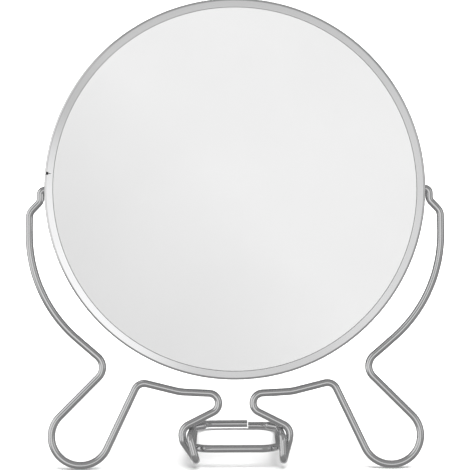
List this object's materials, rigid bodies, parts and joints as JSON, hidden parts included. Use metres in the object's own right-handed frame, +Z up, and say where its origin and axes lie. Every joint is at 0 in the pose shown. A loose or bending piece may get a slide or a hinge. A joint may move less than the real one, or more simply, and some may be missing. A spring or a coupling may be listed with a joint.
{
  "type": "shaving mirror",
  "caption": "Round two-sided tilting mirror in a polished metal band, held by bent wire legs with round feet and a hinged wire prop.",
  "frame": {"origin": "middle of the base, on the table that the feet and the prop stand on", "axes": "+X to the right as seen by the user, -Y towards the user, +Z up"},
  "size_m": [0.1874, 0.0711, 0.2077],
  "materials": {
    "band_steel": "polished, bright",
    "joint_steel": "bright sheet",
    "front_mirror_glass": "clear, polished",
    "rear_mirror_glass": "clear, polished, dished",
    "silvering": "silver coat under paint",
    "grey_card": "grey board, matt",
    "leg_wire": "bright drawn wire",
    "link_wire": "bright drawn wire"
  },
  "bodies": {
    "stand": {"left_leg": "leg_wire", "right_leg": "leg_wire"},
    "mirror_head": {"frame_band": "band_steel", "joint_strip": "joint_steel", "front_glass": "front_mirror_glass", "front_coating": "silvering", "backing_card": "grey_card", "rim_spacer": "grey_card", "rear_glass": "rear_mirror_glass", "rear_coating": "silvering"},
    "prop": {"prop_link": "link_wire"}
  },
  "joints": [
    {"name": "head_tilt", "type": "hinge", "parent": "stand", "child": "mirror_head", "pos_m": [0, -0.00959, 0.12332], "axis": [1, 0, 0], "continuous": true},
    {"name": "prop_swing", "type": "hinge", "parent": "stand", "child": "prop", "pos_m": [0, -0.02978, 0.00879], "axis": [1, 0, 0], "range_deg": [0, 44]}
  ]
}
